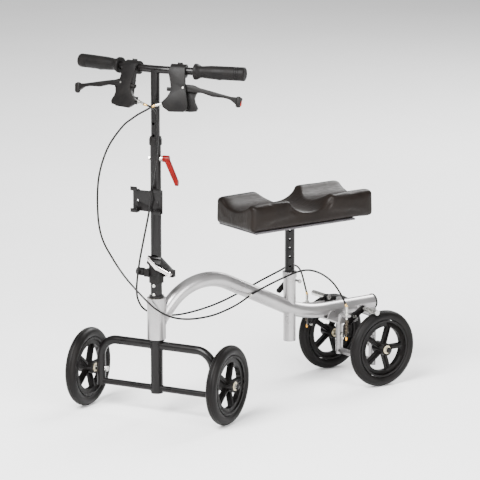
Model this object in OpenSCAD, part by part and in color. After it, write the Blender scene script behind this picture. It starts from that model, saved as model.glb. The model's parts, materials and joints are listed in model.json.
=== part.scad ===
// Steerable knee scooter: a folding steering column with a sliding handlebar, a sliding
// knee pad, a looped front fork, four spoked wheels and a cable brake on each rear tyre.
// +X is forward, +Y is the rider's left, +Z is up, and z = 0 is the floor.  Unit: mm.

/* [Stance] */
// Distance from the steering axis back to the rear axle
wheelbase = 626; // [560:1:760]
// Distance between the middles of the two front tyres
front_track = 398; // [330:1:480]
// Distance between the middles of the two rear tyres
rear_track = 222; // [205:1:270]
// Angle that the front assembly is turned to the rider's left
steer = 27; // [0:1:35]

/* [Wheels] */
// Outer diameter of each tyre
wheel_d = 200; // [170:1:240]
// Width of each tyre
tyre_w = 28; // [24:1:32]
// Diameter where the tyre sits on the rim
rim_d = 150; // [130:1:160]
// Length of the wheel hub
hub_w = 44; // [38:1:48]
// Diameter of the axle bolts
axle_d = 8; // [6:0.5:10]

/* [Main frame] */
// Outer diameter of the main tube
main_d = 38; // [32:1:42]
// Wall of the frame tubes
wall = 2; // [1.2:0.1:3]
// Height of the main tube's middle at the top of its hump
hump_z = 326; // [290:1:370]
// Bend radius of the hump
hump_r = 148; // [120:1:180]
// Slope of the main tube behind the hump
fall = 26; // [20:1:32]
// Height of the level tail's middle
tail_z = 195; // [175:1:215]
// Length of the tail behind the rear axle
tail_over = 54; // [30:1:80]
// Outer diameter of the head tube
head_d = 47; // [42:1:54]
// Height of the head tube's lower end
head_z0 = 196; // [180:1:215]
// Length of the head tube
head_h = 105; // [85:1:130]

/* [Fork] */
// Outer diameter of the steerer tube
steerer_d = 28.6; // [25:0.1:32]
// Outer diameter of the fork loop's tube
loop_d = 22; // [19:1:26]
// Height of the loop's top tube
loop_z = 179; // [165:1:185]
// Bend radius of the loop's corners
loop_bend = 46; // [30:1:60]
// Diameter of the fork's lower cross tube
cross_d = 16; // [12:1:20]

/* [Column and handlebar] */
// Outer diameter of the column tube
column_d = 27; // [25:0.5:32]
// Outer diameter of the handlebar stem
stem_d = 22.2; // [19:0.1:25]
// Height of the top of the column tube
column_top = 690; // [640:1:760]
// Height of the handlebar's middle
bar_z = 875; // [820:1:960]
// Distance from the middle to the end of the bar
bar_half = 228; // [200:1:260]
// Diameter of the handlebar
bar_d = 19; // [16:1:22]
// Angle that the bar's ends sweep back
sweep = 9.5; // [4:0.5:14]
// Outer diameter of the grips
grip_d = 34; // [29:1:38]

/* [Knee rest] */
// Distance from the steering axis back to the seat tube
seat_back = 411; // [360:1:440]
// Outer diameter of the seat tube
seat_tube_d = 32; // [29:1:36]
// Outer diameter of the seat post
post_d = 25.4; // [22:0.1:28]
// Height of the seat tube's upper end
seat_top = 310; // [290:1:340]
// Height of the underside of the knee pad
pad_z = 447; // [410:1:500]
// Length of the knee pad
pad_l = 386; // [320:1:440]
// Width of the knee pad
pad_w = 168; // [140:1:200]
// Height of the pad's raised corners
pad_h = 68; // [50:1:80]

/* [Fits] */
// Radial clearance of a shaft that turns or slides in its hole
run_fit = 0.05; // [0.01:0.01:0.1]
// Gap between moving faces
gap = 0.4; // [0.3:0.05:1]

/* [Hidden] */
$fn = 48;

silver = "silver";
black = "#2b2725";
rubber = "#231f1e";
zinc = "#c8c8c4";

wheel_r = wheel_d / 2;
front_reach = front_track / 2 * sin(steer) + (wheel_r - tyre_w / 2) * cos(steer) + tyre_w / 2;
steer_x = (wheelbase + wheel_r - front_reach) / 2;
rear_x = steer_x - wheelbase;
seat_x = steer_x - seat_back;

// Main tube: a straight, the hump's arc, a straight, the sag's arc and the level tail
hump_back = 150;
climb = 48;
sag_r = 300;
hump_x = steer_x - hump_back;
hump_cz = hump_z - hump_r;
climb_l = (hump_back - hump_r * sin(climb)) / cos(climb);
fall_drop = hump_z - tail_z - (hump_r + sag_r) * (1 - cos(fall));
fall_l = fall_drop / sin(fall);
sag_x = hump_x - (hump_r + sag_r) * sin(fall) - fall_l * cos(fall);
weld = 0.01;
tail_x = rear_x - tail_over;
head_top = head_z0 + head_h;
head_bore = head_d - 10;
bearing_h = 10;

// Wheels, axles and the rear carrier
hub_d = 32;
bearing_d = 22;
bearing_w = 7;
axle_hole = axle_d + 0.2;
post_dia = 19;
post_y = rear_track / 2 - hub_w / 2 - 9 - post_dia / 2;
post_z0 = wheel_r - 52;
carrier_d = 22;
carrier_z = tail_z - 9;
lower_bar_d = 16;
lower_bar_z = post_z0 + 9;
leg_y = front_track / 2 - hub_w / 2 - 6 - loop_d / 2;
leg_z0 = wheel_r - 42;
cross_z = leg_z0 + 10;
crown_z = head_z0 - 5;
nut_h = 7;
head_h_bolt = 6;

seat_tube_low = 130;
post_bottom = 212;
board_t = 5;
pad_x = seat_x - 16;

// Steerer and fold joint
steerer_top = 352;
hinge_tilt = 36;
hinge_x = -50;
hinge_z = 357;
plate_t = 7;
hinge_w = 38;
hinge_pin_d = 8;
barrel_d = 16;
plate_front = 72;
plunger_x = 8;
plunger_z = 365;
plunger_d = 8;
lug_y0 = -15;
lug_y1 = -25;
cam_y = 33;
cam_z = 362;

// Column, stem and bar
column_bore = stem_d + 2 * run_fit;
stem_z0 = bar_z - 370;
collar_d = 32;
collar_h = 21;
clamp_z = column_top - 37;
clamp_turn = 12;
hole_pitch = 30;
bar_bend_y = 12;
bar_bend_r = 150;
swept_len = (bar_half - bar_bend_y - bar_bend_r * sin(sweep)) / cos(sweep);
grip_len = 130;
grip_s0 = swept_len + 3 - grip_len;
housing_tilt = 14;
lever_x = 6.8;
lever_t = 7.6;
lever_s = 46;
lever_z = -42;
lever_pin_d = 5;
adjuster_x = 5.5;
adjuster_tip = 23.6;
adjuster_lean = 105;

// Rear brakes, about the axle
arm_y = post_y + post_dia / 2 - 6;
arm_t = 5;
pivot_x = rear_x + 66;
pivot_z = wheel_r + 87;
roller_d = 14;
roller_x = rear_x + 36;
roller_z = wheel_r + 104;
wire_x = rear_x + 96;
wire_z = wheel_r + 40;
ear_t = 4;
ear_y = arm_y - 1 - ear_t;
stop_z = tail_z - main_d / 2 + 20;
stop_y = arm_y + arm_t + 6;
strap_l = 60;

// Where a point of a brake housing stands in the scooter, on the left (1) or the right (-1)
function turned(x, y, a) = [x * cos(a) - y * sin(a), x * sin(a) + y * cos(a)];
function housing_point(p, side) =
    let (f = turned(p[0], p[2], housing_tilt), q = turned(bar_bend_r + f[0], p[1], sweep),
        r = turned(q[0] - bar_bend_r, side * (q[1] + bar_bend_y), steer))
    [steer_x + r[0], r[1], bar_z + f[1]];
function cable_start(side) = housing_point([adjuster_x, -4 - adjuster_tip * sin(adjuster_lean),
    -82 + adjuster_tip * cos(adjuster_lean)], side);
function cable_end(side) = [wire_x, side * stop_y, stop_z + adjuster_tip];

// Brake cables: points chosen by hand, x from the steering axis on the drawn wheelbase
drawn_base = 626;
drawn_bar = 875;
function along_frame(p) = [steer_x + p[0] * wheelbase / drawn_base, p[1],
    p[2] < 330 ? p[2] : 330 + (p[2] - 330) * (bar_z - 330) / (drawn_bar - 330)];
function drawn(points) = [for (p = points) along_frame(p)];
cable_d = 5;
cable_sides = 8;
clip_left = [-270.5, 22, 272];
clip_right = [-270.5, -22, 272];
front_cable_left = concat([cable_start(1)], drawn([[27.5, 19, 785],
    [36.5, 9, 777], [45.5, -4, 768], [53.5, -22, 755], [63.5, -50, 732], [77.5, -90, 680],
    [84.5, -118, 620], [85.5, -132, 560],
    [81.5, -136, 484], [75.5, -126, 434], [65.5, -99, 392], [55.5, -61, 352], [43.5, -18, 318],
    [27.5, 24, 286], [3.5, 46, 266], [-32.5, 49, 252], [-82.5, 44, 243], [-142.5, 36, 241],
    [-192.5, 29, 247], [-232.5, 25, 257], clip_left]));
rear_cable_left = concat(drawn([clip_left, [-302.5, 23, 284], [-337.5, 26, 296],
    [-372.5, 28, 306], [-404.5, 30, 314], [-432.5, 35, 318], [-454.5, 43, 315], [-477, 53, 304],
    [-498, 66, 284], [-515, 78, 254]]), [cable_end(1)]);
front_cable_right = concat([cable_start(-1)], drawn([[26.5, 7, 788], [17.5, 15, 783],
    [11.5, 24, 768], [12.5, 30, 738], [16.5, 31, 685], [24.5, 33, 640], [38.5, 38, 585],
    [40.5, 30, 530], [39.5, 4, 455], [38.5, -18, 390], [37.5, -32, 325], [29.5, -36, 289],
    [7.5, -38, 262], [-32.5, -36, 245], [-82.5, -32, 238], [-132.5, -30, 240], [-182.5, -28, 247],
    [-227.5, -25, 258], clip_right]));
rear_cable_right = concat(drawn([clip_right, [-302.5, -23, 282], [-337.5, -26, 292],
    [-372.5, -29, 301], [-404.5, -32, 309], [-432.5, -38, 315], [-454.5, -44, 314],
    [-477, -54, 304], [-498, -67, 284], [-515, -78, 254]]), [cable_end(-1)]);
front_rings = 27;
rear_rings = 13;

// ---- helpers ----
module rod_z(d, z0, z1) translate([0, 0, z0]) cylinder(d = d, h = z1 - z0);
module rod_y(d, y0, y1) translate([0, y0, 0]) rotate([-90, 0, 0]) cylinder(d = d, h = y1 - y0);
module rod_x(d, x0, x1) translate([x0, 0, 0]) rotate([0, 90, 0]) cylinder(d = d, h = x1 - x0);
module hex_y(d, y0, y1)
    translate([0, y0, 0]) rotate([-90, 0, 0]) cylinder(d = d, h = y1 - y0, $fn = 6);
module steered() translate([steer_x, 0, 0]) rotate([0, 0, steer]) children();
module at(x, y, z) translate([x, y, z]) children();
module both_sides() { children(); mirror([0, 1, 0]) children(); }

// The main tube is a chain: each stretch starts in the frame where the last one ends
module ring(d, t) difference() { circle(d = d); circle(d = d - 2 * t); }
module along_arc(r, turn) translate([-r, 0, 0]) rotate([0, 0, turn]) translate([r, 0, 0]) children();
module tube_arc(r, turn) translate([-r, 0, 0]) rotate_extrude(angle = turn + weld)
    translate([r, 0]) ring(main_d, wall);
module tube_run(len) rotate([-90, 0, 0]) linear_extrude(len) ring(main_d, wall);

// Cubic through the points: the position at parameter t, counted in points
function at_point(p, i) = p[max(0, min(len(p) - 1, i))];
function spline(p, t) =
    let (i = min(floor(t), len(p) - 2), u = t - i,
        a = at_point(p, i - 1), b = at_point(p, i), c = at_point(p, i + 1), d = at_point(p, i + 2))
    b + u * ((c - a) / 2 + u * (a - 2.5 * b + 2 * c - d / 2 + u * ((d - a) / 2 + 1.5 * (b - c))));
function unit(v) = v / norm(v);

// A cable swept along the cubic through the points, with the given number of rings
module cable(p, rings) {
    step = (len(p) - 1) / (rings - 1);
    middle = [for (i = [0:rings - 1]) spline(p, i * step)];
    along = [for (i = [0:rings - 1])
        unit(middle[min(i + 1, rings - 1)] - middle[max(i - 1, 0)])];
    side = [for (t = along) unit(cross(t, [0.35, 0.93, 0.1]))];
    skin = [for (i = [0:rings - 1]) for (k = [0:cable_sides - 1])
        middle[i] + cable_d / 2 * (cos(k * 360 / cable_sides) * side[i]
            + sin(k * 360 / cable_sides) * cross(along[i], side[i]))];
    walls = [for (i = [0:rings - 2]) for (k = [0:cable_sides - 1])
        let (n = (k + 1) % cable_sides, r = i * cable_sides)
        [r + k, r + cable_sides + k, r + cable_sides + n, r + n]];
    first = [for (k = [0:cable_sides - 1]) k];
    last = [for (k = [cable_sides - 1:-1:0]) (rings - 1) * cable_sides + k];
    polyhedron(skin, concat(walls, [first, last]));
}

// ---- frame ----
module main_tube() color(silver) difference() {
    translate([hump_x, 0, hump_cz]) rotate([90, 0, 0]) rotate([0, 0, 90 - climb])
        translate([hump_r, 0, 0]) {
            translate([0, -climb_l, 0]) tube_run(climb_l);
            tube_arc(hump_r, climb + fall);
            along_arc(hump_r, climb + fall) {
                tube_run(fall_l);
                translate([0, fall_l, 0]) mirror([1, 0, 0]) {
                    tube_arc(sag_r, fall);
                    along_arc(sag_r, fall) tube_run(sag_x - tail_x);
                }
            }
        }
    at(steer_x, 0, 0) rod_z(head_d, head_z0 - 60, head_top + 60);
    at(seat_x, 0, 0) rod_z(seat_tube_d, 60, seat_top + 100);
    at(rear_x, 0, carrier_z) rod_y(carrier_d, -post_y, post_y);
}

module head_tube() color(silver) at(steer_x, 0, 0) difference() {
    rod_z(head_d, head_z0, head_top);
    rod_z(head_bore, head_z0 - 1, head_top + 1);
}

module headset_bearings() color(zinc) at(steer_x, 0, 0) difference() {
    union() {
        rod_z(head_bore - 0.1, head_z0, head_z0 + bearing_h);
        rod_z(head_bore - 0.1, head_top - bearing_h, head_top);
    }
    rod_z(steerer_d + 2 * run_fit, head_z0 - 1, head_top + 1);
}

// The tube under the knee rest passes through the main tube and is open below
module seat_tube() color(silver) at(seat_x, 0, 0) difference() {
    rod_z(seat_tube_d, seat_tube_low, seat_top);
    rod_z(post_d + 2 * run_fit, seat_tube_low - 1, seat_top + 1);
}

// Split collar at the seat tube's upper end, with the cross bolt that its lever tightens
seat_clamp_z = seat_top - 25;
seat_clamp_y = seat_tube_d / 2 + 9;
seat_bolt_x = seat_x - seat_tube_d / 2 - 5;
module seat_clamp() {
    color(silver) at(seat_x, 0, 0) difference() {
        rod_z(seat_tube_d + 5, seat_top - 12, seat_top + 2);
        rod_z(seat_tube_d + 0.1, seat_top - 13, seat_top);
        rod_z(post_d + 2 * gap, seat_top - 1, seat_top + 3);
    }
    color(zinc) at(seat_bolt_x, 0, seat_clamp_z) {
        rod_y(6, -seat_clamp_y, seat_tube_d / 2 - 4);
        hex_y(11, seat_tube_d / 2 - 4, seat_tube_d / 2 + 1);
    }
}

module tail_plug() color(black) at(tail_x, 0, tail_z) {
    rod_x(main_d - 2 * wall - 0.2, 0, 14);
    rod_x(main_d, -3, 0);
}

module rear_top_bar() color(silver) at(rear_x, 0, carrier_z) difference() {
    rod_y(carrier_d, -post_y, post_y);
    rod_y(carrier_d - 2 * wall, -post_y - 1, post_y + 1);
    both_sides() at(0, post_y, -40) rod_z(post_dia, 0, 80);
}

module rear_posts() color(silver) both_sides() at(rear_x, post_y, 0) difference() {
    rod_z(post_dia, post_z0, carrier_z + carrier_d / 2 + 2);
    rod_z(post_dia - 2 * wall, post_z0 - 1, carrier_z + carrier_d / 2);
    at(0, 0, wheel_r) rod_y(axle_hole, -post_dia, post_dia);
}

module rear_lower_bar() color(silver) at(rear_x, 0, lower_bar_z) difference() {
    rod_y(lower_bar_d, -post_y, post_y);
    rod_y(lower_bar_d - 2 * wall, -post_y - 1, post_y + 1);
    both_sides() at(0, post_y, -20) rod_z(post_dia, 0, 40);
}

// Strap under the tail with an ear and a cable stop at each end, and round saddles by the tube
strap_z = tail_z - main_d / 2;
module cable_stop_bracket() color(silver) difference() {
    union() {
        at(pivot_x - 16, -ear_y - ear_t, strap_z - 4)
            cube([strap_l, 2 * (ear_y + ear_t), 4]);
        both_sides() {
            at(pivot_x - 16, ear_y, strap_z - 4) cube([strap_l, ear_t, 26]);
            at(pivot_x + 14, main_d / 2 - 3, strap_z - 4) intersection() {
                rod_y(54, 0, 4);
                at(-40, 0, 0) cube([80, 10, 30]);
            }
            at(wire_x - 8, ear_y, stop_z - 4) cube([16, stop_y - ear_y + 9, 4]);
        }
    }
    both_sides() {
        at(pivot_x, 0, pivot_z) rod_y(6.1, ear_y - 1, ear_y + ear_t + 1);
        at(wire_x, stop_y, 0) rod_z(6.1, stop_z - 10, stop_z + 10);
    }
    at(sag_x - 200, 0, tail_z) rod_x(main_d, 0, 400);
}

// Threaded barrel that the outer cable ends in
module adjuster(d) {
    difference() {
        union() {
            rod_z(d, -12, 10);
            rod_z(d + 4, 0, 5);
            rod_z(d + 1.5, 10, 22);
        }
        rod_z(2.4, -13, 20);
    }
}

module rear_adjusters() color(zinc) both_sides() at(wire_x, stop_y, stop_z) adjuster(6);

// Cable clips on the sides of the main tube
module cable_guide() color(zinc) difference() {
    for (end = [rear_cable_left[0], rear_cable_right[0]]) translate(end) {
        rotate([0, 90 + fall, 0]) cylinder(d = cable_d + 5, h = 9, center = true);
        rod_y(6, min(0, -9 * sign(end[1])), max(0, -9 * sign(end[1])));
    }
    for (end = [rear_cable_left[0], rear_cable_right[0]]) translate(end)
        rotate([0, 90 + fall, 0]) cylinder(d = cable_d + 1.6, h = 12, center = true);
    at(hump_x, 0, hump_cz) rotate([90, 0, 0]) rotate([0, 0, 90 + fall])
        at(hump_r, 0, 0) rotate([-90, 0, 0]) cylinder(d = main_d, h = fall_l);
}

// Axle: head outside, spacer between hub and frame, nut on the inner side of the frame
module axle(y_frame, y_in, y_hub, y_out) {
    rod_y(axle_d, y_in - nut_h, y_out + 1);
    hex_y(15, y_in - nut_h, y_in - gap);
    hex_y(15, y_out + 1, y_out + 1 + head_h_bolt);
    difference() {
        rod_y(14, y_frame, y_hub);
        rod_y(axle_d, y_frame - 1, y_hub + 1);
    }
}

module rear_axle_bolts() color(zinc) both_sides() at(rear_x, 0, wheel_r)
    axle(post_y + post_dia / 2 + 0.1, post_y - post_dia / 2,
        rear_track / 2 - hub_w / 2, rear_track / 2 + hub_w / 2);

module hub_bearings(y) for (s = [-1, 1]) at(0, y + s * (hub_w / 2 - bearing_w / 2), 0)
    difference() {
        rod_y(bearing_d - 0.1, -bearing_w / 2, bearing_w / 2);
        rod_y(axle_d + 0.1, -bearing_w, bearing_w);
    }

module rear_wheel_bearings() color(zinc) both_sides() at(rear_x, 0, wheel_r)
    hub_bearings(rear_track / 2);

module brake_pivot_bolts() color(zinc) both_sides() at(pivot_x, 0, pivot_z) {
    rod_y(6, ear_y - 5, arm_y + arm_t + 2);
    hex_y(10, ear_y - 5, ear_y - 0.1);
    rod_y(10, arm_y + arm_t + gap, arm_y + arm_t + 4);
}

module rear_brake_cables() color(rubber) {
    cable(rear_cable_left, rear_rings);
    cable(rear_cable_right, rear_rings);
}

// ---- wheels ----
module tyre() color(rubber) rotate([90, 0, 0]) rotate_extrude() difference() {
    translate([wheel_r - tyre_w / 2, 0]) circle(d = tyre_w);
    square([rim_d, tyre_w + 2], center = true);
}

module rim() color(black) difference() {
    union() {
        rotate([90, 0, 0]) rotate_extrude() {
            translate([rim_d / 2 - 5, -tyre_w / 2 + 3]) square([4.9, tyre_w - 6]);
            translate([rim_d / 2 - 17, -7]) square([14, 14]);
        }
        rod_y(hub_d, -hub_w / 2 + 0.3, hub_w / 2 - 0.3);
        for (k = [0:4]) rotate([0, 36 + 72 * k, 0]) {
            at(hub_d / 2 - 3, -6, -6) cube([rim_d / 2 - 12 - hub_d / 2, 12, 12]);
            at(hub_d / 2 - 3, -8.5, -2) cube([rim_d / 2 - 14 - hub_d / 2, 17, 4]);
        }
    }
    rod_y(bearing_d + 2 * run_fit, -hub_w, hub_w);
}

module front_wheel(s) steered() at(0, s * front_track / 2, wheel_r) children();
module rear_wheel(s) at(rear_x, s * rear_track / 2, wheel_r) children();
module tyre_front_left() front_wheel(1) tyre();
module tyre_front_right() front_wheel(-1) tyre();
module tyre_rear_left() rear_wheel(1) tyre();
module tyre_rear_right() rear_wheel(-1) tyre();
module rim_front_left() front_wheel(1) rim();
module rim_front_right() front_wheel(-1) rim();
module rim_rear_left() rear_wheel(1) rim();
module rim_rear_right() rear_wheel(-1) rim();

// ---- rear brakes ----
module arm_plate(x0, z0, d0, x1, z1, d1) hull() {
    translate([x0, z0]) circle(d = d0, $fn = 32);
    translate([x1, z1]) circle(d = d1, $fn = 32);
}

module brake_arm() color(black) difference() {
    at(0, arm_y + arm_t, 0) rotate([90, 0, 0]) linear_extrude(arm_t) {
        arm_plate(roller_x, roller_z, 16, pivot_x, pivot_z, 18);
        arm_plate(pivot_x, pivot_z, 18, wire_x - 4, pivot_z - 22, 14);
        arm_plate(wire_x - 4, pivot_z - 22, 14, wire_x - 2, wire_z, 13);
    }
    at(pivot_x, 0, pivot_z) rod_y(6 + 2 * run_fit, arm_y - 1, arm_y + arm_t + 1);
    at(roller_x, 0, roller_z) rod_y(6, arm_y - 1, arm_y + arm_t + 1);
}
module brake_arm_left() brake_arm();
module brake_arm_right() mirror([0, 1, 0]) brake_arm();

// Knurled roller that presses on the tread, its bolt, and the clamp for the inner wire
module brake_roller() color(zinc) {
    at(roller_x, 0, roller_z) {
        rod_y(6, arm_y - 2, arm_y + arm_t + 6);
        rod_y(12, arm_y - 6, arm_y - 0.1);
        rod_y(roller_d, arm_y + arm_t + 6, arm_y + arm_t + 58);
    }
    at(wire_x - 2, 0, wire_z) {
        rod_y(6, arm_y - 9, arm_y - 0.1);
        rod_y(10, arm_y + arm_t + 0.1, arm_y + arm_t + 3);
    }
}
module brake_roller_left() brake_roller();
module brake_roller_right() mirror([0, 1, 0]) brake_roller();

// Return spring round the inner wire, between the cable stop and the arm
spring_d = 10;
spring_z0 = wire_z + 8;
spring_z1 = stop_z - 13;
module brake_springs() color(zinc) both_sides() at(wire_x, stop_y, 0) difference() {
    rod_z(spring_d, spring_z0, spring_z1);
    rod_z(spring_d - 3, spring_z0 - 1, spring_z1 + 1);
}

// ---- fork ----
module fork_tube() color(black) steered() difference() {
    union() {
        rod_z(steerer_d + 2, leg_z0 - 2, crown_z);
        rod_z(steerer_d, crown_z, steerer_top);
    }
    rod_z(steerer_d - 2 * wall, leg_z0 - 3, steerer_top + 1);
    for (z = [head_top + 9, head_top + 32]) at(0, 0, z) rod_x(8, 0, steerer_d);
}

module loop_half(d) {
    rod_y(d, 0, leg_y - loop_bend);
    translate([0, leg_y - loop_bend, -loop_bend]) rotate([90, 0, 90])
        rotate_extrude(angle = 90) translate([loop_bend, 0]) circle(d = d);
    at(0, leg_y, leg_z0 - loop_z) rod_z(d, 0, loop_z - leg_z0 - loop_bend);
}

module fork_loop() color(black) steered() difference() {
    at(0, 0, loop_z) both_sides() loop_half(loop_d);
    at(0, 0, loop_z) both_sides() loop_half(loop_d - 2 * wall);
    rod_z(steerer_d + 2, 0, 400);
    both_sides() at(0, leg_y, wheel_r) rod_y(axle_hole, -loop_d, loop_d);
    both_sides() at(0, leg_y, leg_z0 - 1) rod_z(loop_d - 2 * wall, 0, 4);
}

module fork_cross_tube() color(black) steered() difference() {
    at(0, 0, cross_z) rod_y(cross_d, -leg_y, leg_y);
    at(0, 0, cross_z) rod_y(cross_d - 2 * wall, -leg_y - 1, leg_y + 1);
    rod_z(steerer_d + 2, 0, 200);
    both_sides() at(0, leg_y, 0) rod_z(loop_d, 0, 200);
}

// Ring below the head tube and lock collar above it
module crown_race() color(black) steered() difference() {
    union() {
        rod_z(head_bore + 4, crown_z + 0.1, head_z0 - gap);
        rod_z(head_bore, head_top + gap, head_top + 6);
    }
    rod_z(steerer_d + 0.1, crown_z - 1, head_top + 7);
}

module front_axle_bolts() color(zinc) steered() both_sides() at(0, 0, wheel_r)
    axle(leg_y + loop_d / 2 + 0.1, leg_y - loop_d / 2,
        front_track / 2 - hub_w / 2, front_track / 2 + hub_w / 2);

module front_wheel_bearings() color(zinc) steered() both_sides() at(0, 0, wheel_r)
    hub_bearings(front_track / 2);

// ---- fold joint: everything here is in the plane that slopes down to the hinge pin ----
module on_hinge() translate([hinge_x, 0, hinge_z]) rotate([0, -hinge_tilt, 0]) children();

module knuckle(y0, y1) {
    rod_y(barrel_d, y0, y1);
    at(0, y0 + 0.6, -11) cube([barrel_d, y1 - y0 - 1.2, 9]);
}

module lower_hinge_casting() color(black) steered() difference() {
    union() {
        rod_z(steerer_d + 8, steerer_top - 12, steerer_top + 8);
        hull() {
            rod_z(steerer_d + 6, steerer_top, steerer_top + 4);
            on_hinge() at(14, 3 - hinge_w / 2, -8) cube([plate_front - 18, hinge_w - 6, 5]);
        }
        on_hinge() {
            at(barrel_d / 2 + gap, -hinge_w / 2, -12)
                cube([plate_front - barrel_d / 2 - gap, hinge_w, 12 - gap / 2]);
            knuckle(-hinge_w / 2 + 0.3, -hinge_w / 6 - gap);
            knuckle(hinge_w / 6 + gap, hinge_w / 2 - 0.3);
        }
        at(plunger_x - 10, lug_y1, plunger_z - 10) cube([20, lug_y0 - lug_y1 + 4, 18]);
        at(-26, 12, cam_z - 9) cube([14, cam_y - 5, 17]);
    }
    on_hinge() rod_y(hinge_pin_d + 0.1, -hinge_w, hinge_w);
    at(plunger_x, 0, plunger_z) rod_y(plunger_d + 2 * run_fit, lug_y1 - 1, lug_y0 + 14);
    at(0, cam_y, cam_z) rod_x(6 + 2 * run_fit, -30, 0);
    rod_z(steerer_d + 0.1, steerer_top - 20, steerer_top + 0.1);
}

// Lever that cams the fold joint tight, bent round its front and ending in a ring
module fold_lever() color(zinc) steered() difference() {
    union() {
        at(0, cam_y, cam_z) {
            rod_x(6, -24, -5);
            rod_x(13, -12 + gap, 2);
        }
        hull() {
            at(0, cam_y, cam_z) rod_x(9, -6, 0);
            at(0, cam_y - 20, cam_z + 20) rod_x(9, 20, 25);
        }
        hull() {
            at(0, cam_y - 20, cam_z + 20) rod_x(9, 20, 25);
            at(0, cam_y - 42, cam_z + 42) rod_x(9, 21, 25);
        }
    }
    at(0, cam_y - 42, cam_z + 42) rod_x(4, 10, 30);
}

module hinge_pin() color(zinc) steered() on_hinge() {
    rod_y(hinge_pin_d, -hinge_w / 2 - 3, hinge_w / 2 + 3);
    rod_y(12, hinge_w / 2 + 0.1, hinge_w / 2 + 4);
    rod_y(12, -hinge_w / 2 - 4, -hinge_w / 2 - 0.1);
}

// Spring plunger that locks the fold joint, with its pull knob
module fold_plunger() color(black) steered() at(plunger_x, 0, plunger_z) {
    rod_y(plunger_d, lug_y1 - 8, lug_y0 + 6);
    rod_y(20, lug_y1 - 24, lug_y1 - 4);
    rod_y(14, lug_y1 - 4, lug_y1 - 1);
}

module upper_hinge_plate() color(zinc) steered() difference() {
    union() {
        on_hinge() at(barrel_d / 2 + gap, -hinge_w / 2, gap / 2)
            cube([plate_front - barrel_d / 2 + 4, hinge_w, plate_t]);
        on_hinge() rod_y(barrel_d, -hinge_w / 6 + gap, hinge_w / 6 - gap);
        on_hinge() at(0, -hinge_w / 6 + gap, gap / 2)
            cube([barrel_d, hinge_w / 3 - 2 * gap, plate_t]);
    }
    on_hinge() rod_y(hinge_pin_d + 2 * run_fit, -hinge_w, hinge_w);
}

// ---- column ----
module column_tube() color(black) steered() difference() {
    rod_z(column_d, hinge_z + 20, column_top);
    rod_z(column_bore, hinge_z + 19, column_top + 1);
    on_hinge() at(-100, -60, plate_t + gap / 2 - 200) cube([300, 120, 200]);
    at(0, 0, clamp_z) rotate([0, 0, clamp_turn]) rod_y(8, -column_d, column_d);
}

// Moulded snap collar that steadies the stem
module column_collar() color(black) steered() difference() {
    union() {
        rod_z(collar_d, column_top - 3, column_top + collar_h - 8);
        rod_z(collar_d - 3, column_top - 3, column_top + collar_h - 3);
    }
    rod_z(column_d + 0.2, column_top - 4, column_top + 0.1);
    rod_z(column_bore, column_top - 1, column_top + collar_h);
}

// Clamp screw behind the column: a nut in front, and a boss that its lever sits on
module height_clamp_bolt() steered() at(0, 0, clamp_z) rotate([0, 0, clamp_turn]) {
    color(zinc) hex_y(10, -column_d / 2 - 4, -column_d / 2 - 0.1);
    color(black) difference() {
        rod_y(14, column_d / 2 - 2, column_d / 2 + 5);
        rotate([0, 0, -clamp_turn]) rod_z(column_d + 0.1, -20, 20);
    }
    color(zinc) rod_y(6, column_d / 2 + 5, column_d / 2 + 16);
}

// Flat plate in front of the column with four hooks, on a stand-off and a band
plate_x = 42;
bracket_w = 82;
bracket_z0 = 527;
bracket_h = 52;
hook_w = 18;
module accessory_bracket() color(black) steered() difference() {
    union() {
        at(plate_x - 2.5, -bracket_w / 2, bracket_z0) cube([2.5, bracket_w, bracket_h]);
        at(0, -11, bracket_z0 + 8) cube([plate_x - 2, 22, bracket_h - 16]);
        at(0, 0, bracket_z0 + 8) rod_z(column_d + 7, 0, bracket_h - 16);
        for (s = [-1, 1]) {
            at(plate_x - 2.5, s * (bracket_w - hook_w) / 2 - hook_w / 2, bracket_z0 - 2.5) {
                cube([16, hook_w, 2.5]);
                at(13.5, 0, 0) cube([2.5, hook_w, 10]);
            }
            at(plate_x - 2.5, s * (bracket_w - hook_w) / 2 - hook_w / 2, bracket_z0 + bracket_h) {
                cube([16, hook_w, 2.5]);
                at(13.5, 0, 0) cube([2.5, hook_w, 10]);
            }
        }
    }
    rod_z(column_d + 0.1, bracket_z0 - 20, bracket_z0 + bracket_h + 20);
    for (y = [-28, 28]) at(0, y, bracket_z0 + bracket_h / 2) rod_x(5.2, plate_x - 10, plate_x + 10);
}

// Lever on a clamp screw: a hub along +Y with an arm that hangs down and leans out
module clamp_lever(hub, arm, tilt, w, out) difference() {
    union() {
        rod_y(hub, 0, 16);
        rotate([0, tilt, 0]) hull() {
            at(0, 5, 0) rod_y(hub - 3, 0, 9);
            at(0, 9 + out, -arm + w / 2) rod_y(w, 0, 7);
        }
    }
    rod_y(6.1, -1, 12);
}

module height_lever() color("red") steered() at(0, 0, clamp_z) rotate([0, 0, clamp_turn])
    at(0, column_d / 2 + 5 + gap, 0) clamp_lever(17, 66, -4, 14, 24);

module seat_lever() color(black)
    at(seat_bolt_x, -seat_tube_d / 2 - 3, seat_clamp_z)
        mirror([0, 1, 0]) clamp_lever(14, 48, -45, 12, 3);

// ---- handlebar ----
module handlebar_stem() color(black) steered() difference() {
    rod_z(stem_d, stem_z0, bar_z);
    rod_z(stem_d - 2 * wall, stem_z0 - 1, bar_z);
    at(0, 0, bar_z) rod_y(bar_d, -stem_d, stem_d);
    for (k = [0:3]) at(0, 0, column_top + 51 - hole_pitch * k) rod_x(7, 0, stem_d);
}

// Where the bar's left end runs straight, with +Y along it
module swept() translate([-bar_bend_r, bar_bend_y, bar_z]) rotate([0, 0, sweep])
    translate([bar_bend_r, 0, 0]) children();

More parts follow.
